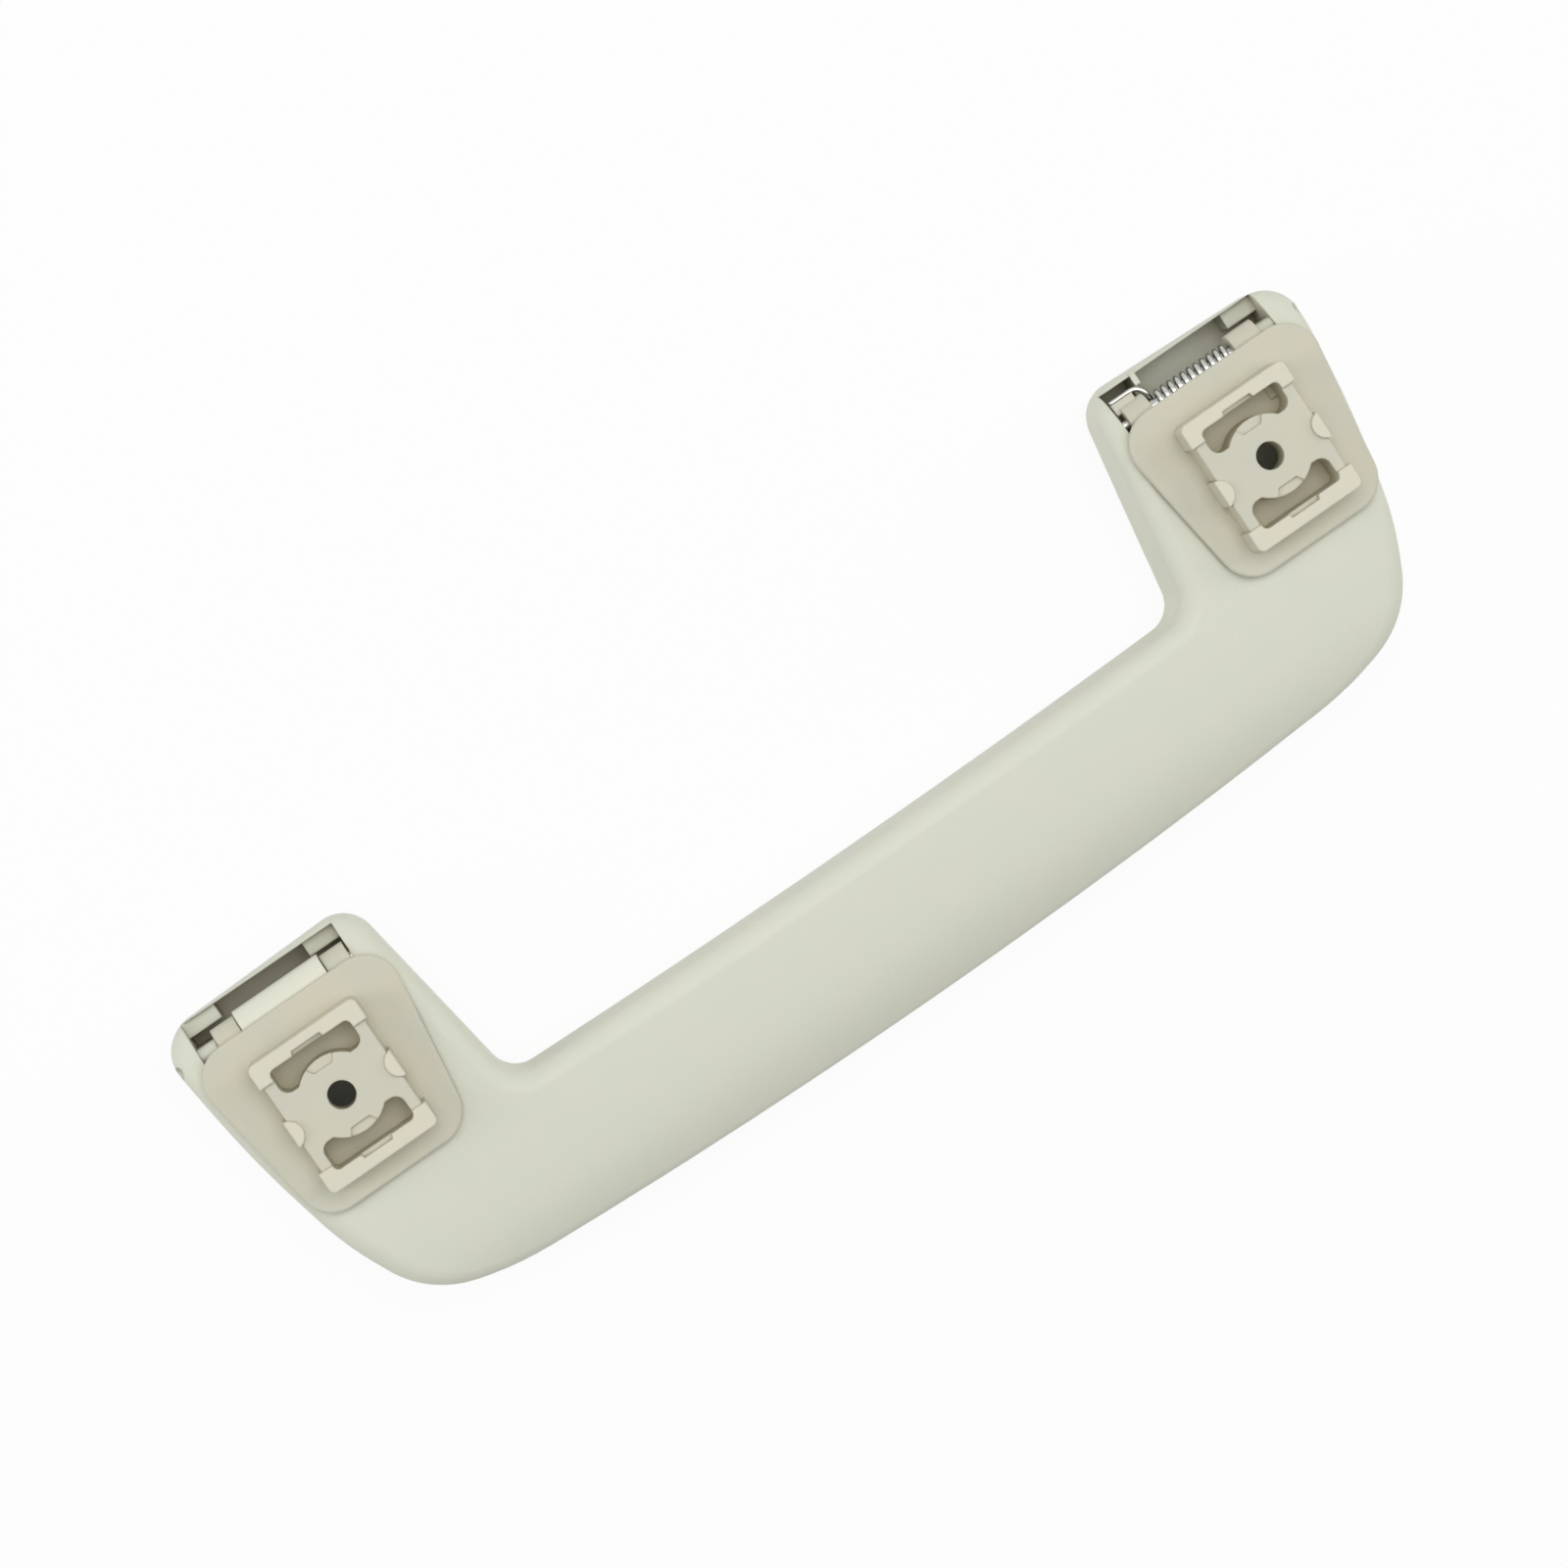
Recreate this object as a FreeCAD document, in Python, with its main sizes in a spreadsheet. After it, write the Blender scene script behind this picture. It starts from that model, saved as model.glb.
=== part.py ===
import FreeCAD, Part
import Sketcher
import math
import os
import re

# Roof grab handle on two hinged brackets, at real size, in millimetres.
# X runs along the hinge axis with the spring end positive, Y from the grip to the hinge,
# Z up to the roof. The origin lies midway between the two screw holes, at their mouths.

# Driving dimensions
SIZES = {
    # How far joined shapes sink into each other, and how far a cut runs past a face
    "sink": 0.5,
    "over": 1.0,
    # Screw holes and hinge axis
    "hole_spacing": 195.0,
    "axis_y": 17.9,
    "axis_z": -11.2,
    # Handle moulding, plan outline: each point is measured from the handle's middle
    "handle_shift": -0.2,
    "tip_out_x": 119.8,
    "tip_out_y": 24.5,
    "tip_in_x": 78.3,
    "tip_in_y": 25.8,
    "flank_x": 116.7,
    "flank_y": -2.7,
    "shoulder_x": 112.2,
    "shoulder_y": -22.9,
    "corner_x": 105.3,
    "corner_y": -38.8,
    "heel_x": 89.8,
    "heel_y": -43.6,
    "grip_out_y": -47.1,
    "gap_corner_x": 72.0,
    "gap_corner_y": -15.7,
    "gap_mid_y": -16.8,
    "tip_round": 6.4,
    "flank_round": 180.0,
    "shoulder_round": 60.0,
    "corner_round": 19.0,
    "heel_round": 58.0,
    "gap_round": 5.5,
    # Handle moulding, side profile
    "back_z": -7.4,
    "back_flat_y": -12.0,
    "tip_back_y": 11.0,
    "tip_back_round": 20.0,
    "back_slope_y": -34.0,
    "back_slope_round": 110.0,
    "back_crown_round": 22.0,
    "front_z": -29.2,
    "front_low_y": -30.0,
    "front_crown_round": 28.0,
    "front_slope_round": 400.0,
    "nose_y": 21.0,
    "nose_round": 9.0,
    "back_edge": 3.5,
    "front_edge": 5.0,
    # Hinge pockets and the hollow under each flange
    "rim_y": 24.65,
    "pocket_floor_z": -21.2,
    "pocket_low_y": 6.0,
    "hollow_floor_z": -22.2,
    "hollow_low_y": -13.5,
    "hollow_half": 12.5,
    "damper_pocket_out_x": -114.3,
    "damper_pocket_in_x": -82.8,
    "spring_pocket_in_x": 80.6,
    "spring_pocket_out_x": 113.2,
    "shelf_y": 21.8,
    "shelf_z": -14.8,
    "damper_out_shelf_x": -107.6,
    "damper_in_shelf_x": -89.1,
    "spring_shelf_x": 107.1,
    "spring_shelf_y": 21.6,
    "spring_shelf_z": -15.4,
    "rib_x": 87.1,
    "rib_thick": 1.1,
    "rib_y": 21.0,
    "rib_z": -12.9,
    "rib_tall_y": 22.6,
    "rib_low_z": -16.8,
    "pin_boss_radius": 1.7,
    "key_slot_depth": 1.4,
    # Hinge pins
    "pin_radius": 1.2,
    "press_clearance": 0.01,
    "running_clearance": 0.06,
    "pin_seat": 2.6,
    "pin_recess": 1.0,
    # Brackets
    "flange_top_z": -6.1,
    "flange_thick": 1.2,
    "flange_dish": 300.0,
    "flange_far_y": -17.5,
    "flange_hinge_y": 18.3,
    "flange_far_half": 15.3,
    "flange_hinge_half": 20.5,
    "flange_corner": 6.5,
    "flange_rim": 0.45,
    "block_half": 10.3,
    "ledge_rise": 0.8,
    "ledge_half": 11.0,
    "ledge_hinge_y": 12.9,
    "ledge_far_y": -13.3,
    "ledge_hinge_low": 8.5,
    "ledge_far_top": -9.0,
    "kidney_half": 8.2,
    "kidney_inner": 5.2,
    "kidney_outer": 10.3,
    "kidney_floor_z": -6.5,
    "kidney_round": 1.9,
    "notch_half": 3.5,
    "notch_top_half": 2.9,
    "notch_depth": 0.8,
    "hub_radius": 7.4,
    "lens_half": 2.7,
    "lens_low_half": 1.9,
    "lens_depth": 0.5,
    "lens_low": 5.6,
    "notch_fall": 0.8,
    "ledge_round": 1.2,
    "kidney_corner": 1.1,
    "side_pad_y": -0.8,
    "side_pad_half": 2.6,
    "side_pad_deep": 2.3,
    "side_pad_out": 11.0,
    "side_pad_rise": 0.7,
    "screw_hole_radius": 2.5,
    "screw_head_radius": 5.2,
    "seat_radius": 7.6,
    "seat_z": -13.7,
    "seat_floor_z": -5.2,
    "knuckle_radius": 3.3,
    "knuckle_top_z": -6.2,
    "web_low_y": 7.5,
    "web_low_z": -10.7,
    "web_lean": 0.3,
    "damper_knuckle_a_x": -110.5,
    "damper_knuckle_a_wide": 4.7,
    "damper_knuckle_b_x": -87.8,
    "damper_knuckle_b_wide": 4.6,
    "spring_knuckle_a_x": 81.8,
    "spring_knuckle_a_wide": 4.8,
    "spring_knuckle_b_x": 104.5,
    "spring_knuckle_b_wide": 5.5,
    "stiffener_x": 6.0,
    "stiffener_thick": 2.0,
    "stiffener_far_y": -12.5,
    "stiffener_z": -10.2,
    "tab_reach": 4.4,
    "tab_x": 80.9,
    "tab_wide": 4.4,
    "tab_thick": 1.4,
    "tab_low": -0.3,
    # Torsion spring
    "wire_radius": 0.5,
    "coil_radius": 1.95,
    "coil_start_x": 88.0,
    "coil_pitch": 1.4,
    "coil_turns": 10.99,
    "coil_start_angle": -55.0,
    "wire_gap": 0.1,
    "leg_reach": 4.6,
    "leg_end_x": 81.1,
    "leg_bend_x": 86.2,
    "leg_bend": 1.0,
    "leg_rise": 2.2,
    # Damper
    "barrel_radius": 3.9,
    "barrel_bore": 3.1,
    "barrel_wall": 1.0,
    "key_half": 1.5,
    "side_gap": 0.2,
    "rotor_radius": 2.1,
    "vane_thick": 1.2,
    "cap_thick": 1.6,
    "neck_radius": 1.8,
    "tongue_reach": 1.2,
    "tongue_long": 2.5,
    "tongue_half": 0.9,
    "seal_section": 0.38,
}

doc = FreeCAD.newDocument("roof_grab_handle")
sheet = doc.addObject("Spreadsheet::Sheet", "Sizes")
for row, (alias, size) in enumerate(SIZES.items(), start=1):
    sheet.set("A%d" % row, alias)
    sheet.set("B%d" % row, str(size))
    sheet.setAlias("B%d" % row, alias)
doc.recompute()


# Formulas in the words of the size sheet

def formula(text):
    """Give a formula in the sheet's words as an expression of the document."""
    def word(match):
        name = match.group()
        return "Sizes." + name if name in SIZES else name
    return re.sub(r"[a-z_]+", word, str(text))


def number(text):
    """Work a formula out."""
    return float(sheet.evalExpression(formula(text)))


# Sketches

def new_sketch(body, name, role, height="0"):
    """Put a sketch on one of the body's own origin planes, raised by a height."""
    plane = [item for item in body.Origin.OriginFeatures if item.Role == role][0]
    sketch = body.newObject("Sketcher::SketchObject", name)
    sketch.AttachmentSupport = [(plane, "")]
    sketch.MapMode = "FlatFace"
    sketch.setExpression("AttachmentOffset.Base.z", formula(height))
    return sketch


def fix_point(sketch, geometry, end, place):
    """Hold one end of an edge at a place given by two formulas."""
    for kind, axis, text in (("DistanceX", -2, place[0]), ("DistanceY", -1, place[1])):
        if str(text) == "0":
            sketch.addConstraint(Sketcher.Constraint("PointOnObject", geometry, end, axis))
            continue
        held = Sketcher.Constraint(kind, -1, 1, geometry, end, number(text))
        index = sketch.addConstraint(held)
        sketch.setExpression("Constraints[%d]" % index, formula(text))


def bulge_arc(start, end, radius, side):
    """Make an arc between two points; side is +1 where it bulges to the left of its way."""
    (x0, y0), (x1, y1) = start, end
    chord = math.hypot(x1 - x0, y1 - y0)
    along = ((x1 - x0) / chord, (y1 - y0) / chord)
    left = (-along[1], along[0])
    rise = radius - math.sqrt(radius ** 2 - chord ** 2 / 4)
    middle = ((x0 + x1) / 2 + side * left[0] * rise, (y0 + y1) / 2 + side * left[1] * rise)
    points = [FreeCAD.Vector(x, y, 0) for x, y in (start, middle, end)]
    return Part.Arc(*points)


def outline(sketch, corners):
    """Draw a closed outline.

    Each corner is a pair of formulas, with a radius and a side added where the edge that
    leaves it is an arc.
    """
    places = [(number(corner[0]), number(corner[1])) for corner in corners]
    edges = []
    for index, corner in enumerate(corners):
        start = places[index]
        end = places[(index + 1) % len(places)]
        if len(corner) == 4:
            curve = bulge_arc(start, end, number(corner[2]), corner[3])
        else:
            curve = Part.LineSegment(FreeCAD.Vector(*start, 0), FreeCAD.Vector(*end, 0))
        edges.append(sketch.addGeometry(curve, False))
    for index, corner in enumerate(corners):
        # An arc always runs anticlockwise, so its ends swap where it bulges to the left.
        first, last = ends_of(corner)
        following = corners[(index + 1) % len(corners)]
        next_first = ends_of(following)[0]
        next_edge = edges[(index + 1) % len(corners)]
        joined = Sketcher.Constraint("Coincident", edges[index], last, next_edge, next_first)
        sketch.addConstraint(joined)
        fix_point(sketch, edges[index], first, corner[:2])
        if len(corner) == 4:
            held = Sketcher.Constraint("Radius", edges[index], number(corner[2]))
            radius = sketch.addConstraint(held)
            sketch.setExpression("Constraints[%d]" % radius, formula(corner[2]))


def ends_of(corner):
    """Give the start and end of the edge that leaves a corner."""
    if len(corner) == 4 and corner[3] > 0:
        return 2, 1
    return 1, 2


def rectangle(sketch, low_x, high_x, low_y, high_y):
    """Draw a rectangle between four formulas."""
    outline(sketch, [(low_x, low_y), (high_x, low_y), (high_x, high_y), (low_x, high_y)])


def circle(sketch, place, radius):
    """Draw a circle at a place given by two formulas."""
    centre = FreeCAD.Vector(number(place[0]), number(place[1]), 0)
    round_edge = sketch.addGeometry(Part.Circle(centre, FreeCAD.Vector(0, 0, 1), number(radius)), False)
    fix_point(sketch, round_edge, 3, place)
    index = sketch.addConstraint(Sketcher.Constraint("Radius", round_edge, number(radius)))
    sketch.setExpression("Constraints[%d]" % index, formula(radius))


# Features

def new_body(label, place_x="0"):
    """Start a sub-part, with its origin moved along X."""
    body = doc.addObject("PartDesign::Body", label)
    body.Label = label
    body.setExpression("Placement.Base.x", formula(place_x))
    return body


def extrude(body, kind, name, sketch, length, backwards=False, both=False):
    """Pad or pocket a sketch by a length given as a formula."""
    before = body.Shape.Volume if body.Tip else 0.0
    feature = body.newObject("PartDesign::" + kind, name)
    feature.Profile = sketch
    feature.setExpression("Length", formula(length))
    feature.Midplane = both
    feature.Reversed = backwards
    sketch.Visibility = False
    doc.recompute()
    after = feature.Shape.Volume
    if (kind == "Pad" and after <= before) or (kind == "Pocket" and after >= before):
        raise RuntimeError("%s of %s changes nothing" % (name, body.Label))
    return feature


def round_edges(body, name, edges, radius):
    """Fillet the given edges of the body's last feature."""
    if not edges:
        raise RuntimeError("%s of %s found no edge" % (name, body.Label))
    feature = body.newObject("PartDesign::Fillet", name)
    feature.Base = (body.Tip, edges) if body.Tip is not feature else (feature.BaseFeature, edges)
    feature.setExpression("Radius", formula(radius))
    doc.recompute()
    return feature


def edge_names(shape, wanted):
    """Name the edges of a shape that a test accepts."""
    return ["Edge%d" % (index + 1) for index, edge in enumerate(shape.Edges) if wanted(edge)]


def middle_of(edge):
    """Give the point halfway along an edge."""
    return edge.valueAt((edge.FirstParameter + edge.LastParameter) / 2)


def is_upright(edge):
    """Tell whether an edge is a straight line along Z."""
    first, last = edge.valueAt(edge.FirstParameter), edge.valueAt(edge.LastParameter)
    return abs(first.x - last.x) < 1e-4 and abs(first.y - last.y) < 1e-4


def upright_at(shape, places):
    """Name the upright edges that stand at the given places."""
    points = [(number(x), number(y)) for x, y in places]

    def wanted(edge):
        middle = middle_of(edge)
        near = any(math.hypot(middle.x - x, middle.y - y) < 0.05 for x, y in points)
        return near and is_upright(edge)
    return edge_names(shape, wanted)


def turn_at(shape, edge):
    """Give the angle in degrees between the two faces that meet at an edge."""
    point = middle_of(edge)
    normals = []
    for face in shape.ancestorsOfType(edge, Part.Face):
        u, v = face.Surface.parameter(point)
        normals.append(face.normalAt(u, v))
    if len(normals) != 2:
        return 0.0
    return math.degrees(normals[0].getAngle(normals[1]))


# Handle moulding

OUTER_CORNERS = ("heel", "corner", "shoulder", "flank", "tip_out")
INNER_CORNERS = ("tip_in", "gap_corner")


def plan_corner(name, side):
    """Give a corner of the handle's plan at the spring end (+1) or the damper end (-1)."""
    sign = "+" if side > 0 else "-"
    return "handle_shift %s %s_x" % (sign, name), name + "_y"


def bow_radius(half, end, middle):
    """Give the radius of a shallow arc from its half length and its rise at the middle."""
    rise = "(%s - %s)" % (end, middle)
    return "(%s * %s + %s * %s) / (2 * %s)" % (half, half, rise, rise, rise)


def handle_blank(body):
    """Pad the U-shaped plan and round its upright corners."""
    names = OUTER_CORNERS + INNER_CORNERS
    corners = [plan_corner(name, 1) for name in names]
    corners += [plan_corner(name, -1) for name in reversed(names)]
    gap_start = len(names) - 1
    corners[gap_start] += (bow_radius("gap_corner_x", "gap_corner_y", "gap_mid_y"), 1)
    corners[-1] += (bow_radius("heel_x", "heel_y", "grip_out_y"), -1)
    sketch = new_sketch(body, "HandlePlan", "XY_Plane", "front_z - over")
    outline(sketch, corners)
    extrude(body, "Pad", "HandlePad", sketch, "back_z - front_z + 2 * over")
    rounds = {"tip_out": "tip_round", "tip_in": "tip_round", "gap_corner": "gap_round"}
    for name in ("tip_out", "tip_in", "flank", "shoulder", "corner", "heel", "gap_corner"):
        edges = upright_at(body.Tip.Shape, [plan_corner(name, side) for side in (1, -1)])
        round_edges(body, "Round_" + name, edges, rounds.get(name, name + "_round"))


def arc_drop(radius, reach):
    """Give how far an arc falls away from its tangent over a reach."""
    return "(%s - sqrt(%s ^ 2 - (%s) ^ 2))" % (radius, radius, reach)


def side_profile(body):
    """Cut the blank to its side view: flat arm back, crowned grip, tips rounded off."""
    slope_reach = "(back_flat_y - back_slope_y)"
    slope_z = "(back_z - %s)" % arc_drop("back_slope_round", slope_reach)
    lean = "(%s / back_slope_round)" % slope_reach
    crown_y = "(back_slope_y + back_crown_round * %s)" % lean
    crown_z = "(%s - back_crown_round * sqrt(1 - %s ^ 2))" % (slope_z, lean)
    far_y = "(grip_out_y - over)"
    far_top = "(%s + sqrt(back_crown_round ^ 2 - (%s - %s) ^ 2))" % (crown_z, far_y, crown_y)
    far_low = "(front_z + %s)" % arc_drop("front_crown_round", "front_low_y - " + far_y)
    nose_z = "(front_z + %s)" % arc_drop("front_slope_round", "nose_y - front_low_y")
    nose_lean = "((nose_y - front_low_y) / front_slope_round)"
    nose_mid_y = "(nose_y - nose_round * %s)" % nose_lean
    nose_mid_z = "(%s + nose_round * sqrt(1 - %s ^ 2))" % (nose_z, nose_lean)
    near_y = "(tip_in_y + over)"
    near_low = "(%s - sqrt(nose_round ^ 2 - (%s - %s) ^ 2))" % (nose_mid_z, near_y, nose_mid_y)
    near_top = "(back_z - %s)" % arc_drop("tip_back_round", near_y + " - tip_back_y")
    sketch = new_sketch(body, "HandleSide", "YZ_Plane")
    rectangle(sketch, "2 * grip_out_y", "2 * tip_in_y", "2 * front_z", "-front_z")
    outline(sketch, [
        (near_y, near_top, "tip_back_round", -1),
        ("tip_back_y", "back_z"),
        ("back_flat_y", "back_z", "back_slope_round", -1),
        ("back_slope_y", slope_z, "back_crown_round", -1),
        (far_y, far_top),
        (far_y, far_low, "front_crown_round", -1),
        ("front_low_y", "front_z", "front_slope_round", -1),
        ("nose_y", nose_z, "nose_round", -1),
        (near_y, near_low),
    ])
    extrude(body, "Pocket", "SideCut", sketch, "4 * tip_out_x", both=True)


def round_handle(body):
    """Round the long edges of the back and of the front."""
    middle_z = number("(back_z + front_z) / 2")
    for name, above, radius in (("FrontEdge", False, "front_edge"), ("BackEdge", True, "back_edge")):
        shape = body.Tip.Shape

        def wanted(edge):
            if is_upright(edge) or (middle_of(edge).z > middle_z) != above:
                return False
            return turn_at(shape, edge) > 12
        round_edges(body, name, edge_names(shape, wanted), radius)


def handle_pockets(body):
    """Cut the hinge pockets with their shelves, and the hollows under the flanges."""
    top = "back_z"
    depth = "back_z - pocket_floor_z"
    damper = new_sketch(body, "DamperPocket", "XY_Plane", top)
    outline(damper, [
        ("damper_pocket_out_x", "pocket_low_y"),
        ("damper_pocket_in_x", "pocket_low_y"),
        ("damper_pocket_in_x", "shelf_y"),
        ("damper_in_shelf_x", "shelf_y"),
        ("damper_in_shelf_x", "rim_y"),
        ("damper_out_shelf_x", "rim_y"),
        ("damper_out_shelf_x", "shelf_y"),
        ("damper_pocket_out_x", "shelf_y"),
    ])
    extrude(body, "Pocket", "DamperPocketCut", damper, depth)
    shelves = new_sketch(body, "DamperShelves", "XY_Plane", top)
    rectangle(shelves, "damper_pocket_out_x", "damper_pocket_in_x", "shelf_y", "rim_y")
    extrude(body, "Pocket", "DamperShelfCut", shelves, "back_z - shelf_z")
    spring = new_sketch(body, "SpringPocket", "XY_Plane", top)
    outline(spring, [
        ("spring_pocket_in_x", "pocket_low_y"),
        ("spring_pocket_out_x", "pocket_low_y"),
        ("spring_pocket_out_x", "spring_shelf_y"),
        ("spring_shelf_x", "spring_shelf_y"),
        ("spring_shelf_x", "rim_y"),
        ("spring_pocket_in_x", "rim_y"),
    ])
    extrude(body, "Pocket", "SpringPocketCut", spring, depth)
    shelf = new_sketch(body, "SpringShelf", "XY_Plane", top)
    rectangle(shelf, "spring_shelf_x", "spring_pocket_out_x", "spring_shelf_y", "rim_y")
    extrude(body, "Pocket", "SpringShelfCut", shelf, "back_z - spring_shelf_z")
    for side, name in (("-", "DamperHollow"), ("+", "SpringHollow")):
        sketch = new_sketch(body, name, "XY_Plane", top)
        middle = side + "hole_spacing / 2"
        rectangle(sketch, middle + " - hollow_half", middle + " + hollow_half",
                  "hollow_low_y", "pocket_low_y + over")
        extrude(body, "Pocket", name + "Cut", sketch, "back_z - hollow_floor_z")


def upright_post(body, name, start, length, radius, foot_z):
    """Pad a round boss on the hinge axis, with a foot down to the floor under it."""
    boss = new_sketch(body, name + "Round", "YZ_Plane", start)
    circle(boss, ("axis_y", "axis_z"), radius)
    extrude(body, "Pad", name + "RoundPad", boss, length)
    foot = new_sketch(body, name + "Foot", "YZ_Plane", start)
    rectangle(foot, "axis_y - " + radius, "axis_y + " + radius, foot_z, "axis_z")
    extrude(body, "Pad", name + "FootPad", foot, length)


def pin_bosses(body):
    """Add the boss that holds each pin in the outer wall, and the rib beside the spring."""
    floor = "pocket_floor_z - sink"
    spring_end = "spring_knuckle_b_x + spring_knuckle_b_wide + side_gap"
    upright_post(body, "DamperBoss", "damper_pocket_out_x - over",
                 "damper_knuckle_a_x - side_gap - damper_pocket_out_x + over", "pin_boss_radius", floor)
    upright_post(body, "SpringBoss", spring_end,
                 "spring_pocket_out_x - (%s) + over" % spring_end, "pin_boss_radius", floor)
    # The rib is low where the spring's leg sweeps past it, and tall beyond the leg's reach.
    for name, start, top in (("SpringRibLow", "rib_y", "rib_low_z"), ("SpringRib", "rib_tall_y", "rib_z")):
        rib = new_sketch(body, name, "XY_Plane", floor)
        rectangle(rib, "rib_x", "rib_x + rib_thick", start, "rim_y + sink")
        extrude(body, "Pad", name + "Pad", rib, "%s - (%s)" % (top, floor))


def pin_bores(body):
    """Bore both arms from their outer sides, with a blind end beyond each pocket."""
    mouth = "(tip_out_x + over)"
    ends = (
        ("DamperBore", "-" + mouth, mouth + " + damper_pocket_in_x + pin_seat"),
        ("SpringBore", "spring_pocket_in_x - pin_seat", mouth + " - (spring_pocket_in_x - pin_seat)"),
    )
    for name, start, length in ends:
        sketch = new_sketch(body, name, "YZ_Plane", start)
        circle(sketch, ("axis_y", "axis_z"), "pin_radius + press_clearance")
        extrude(body, "Pocket", name + "Cut", sketch, length, backwards=True)


def key_slot(body):
    """Cut the slot in the pocket floor that keeps the damper's barrel from turning."""
    sketch = new_sketch(body, "KeySlot", "XY_Plane", "pocket_floor_z + sink")
    half = "(key_half + running_clearance)"
    rectangle(sketch, "%s - running_clearance" % BARREL_START, "%s + running_clearance" % BARREL_END,
              "axis_y - " + half, "axis_y + " + half)
    extrude(body, "Pocket", "KeySlotCut", sketch, "key_slot_depth + sink")


# The damper's barrel fills the room between its bracket's knuckles.
BARREL_START = "(damper_knuckle_a_x + damper_knuckle_a_wide + side_gap)"
BARREL_END = "(damper_knuckle_b_x - side_gap)"

handle = new_body("handle_body")
handle_blank(handle)
side_profile(handle)
round_handle(handle)
handle_pockets(handle)
pin_bosses(handle)
pin_bores(handle)
key_slot(handle)


# Brackets

def dished_flange(body, name):
    """Revolve a shallow dish, trim it to the flange's outline and round its corners."""
    reach = "1.5 * flange_hinge_half"
    rise = "(flange_dish - sqrt(flange_dish ^ 2 - (%s) ^ 2))" % reach
    dish = new_sketch(body, name + "Dish", "XZ_Plane")
    outline(dish, [
        ("0", "flange_top_z - flange_thick", "flange_dish + flange_thick", -1),
        (reach, "flange_top_z - flange_thick + " + rise),
        (reach, "flange_top_z + " + rise, "flange_dish", 1),
        ("0", "flange_top_z"),
    ])
    turned = body.newObject("PartDesign::Revolution", name + "DishTurn")
    turned.Profile = dish
    turned.ReferenceAxis = (dish, ["V_Axis"])
    turned.Angle = 360.0
    dish.Visibility = False
    doc.recompute()
    trim = new_sketch(body, name + "Trim", "XY_Plane")
    circle(trim, ("0", "0"), "2 * flange_hinge_half")
    outline(trim, [
        ("flange_hinge_half", "flange_hinge_y"),
        ("-flange_hinge_half", "flange_hinge_y"),
        ("-flange_far_half", "flange_far_y"),
        ("flange_far_half", "flange_far_y"),
    ])
    extrude(body, "Pocket", name + "TrimCut", trim, "-4 * flange_top_z", both=True)
    places = [(sign + "flange_hinge_half", "flange_hinge_y") for sign in ("", "-")]
    places += [(sign + "flange_far_half", "flange_far_y") for sign in ("", "-")]
    round_edges(body, name + "Corner", upright_at(body.Tip.Shape, places), "flange_corner")
    middle_z = number("flange_top_z - flange_thick / 2")

    def on_rim(edge):
        middle = middle_of(edge)
        rise = math.hypot(middle.x, middle.y) ** 2 / 2 / number("flange_dish")
        return not is_upright(edge) and middle.z - rise > middle_z
    round_edges(body, name + "Rim", edge_names(body.Tip.Shape, on_rim), "flange_rim")


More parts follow.
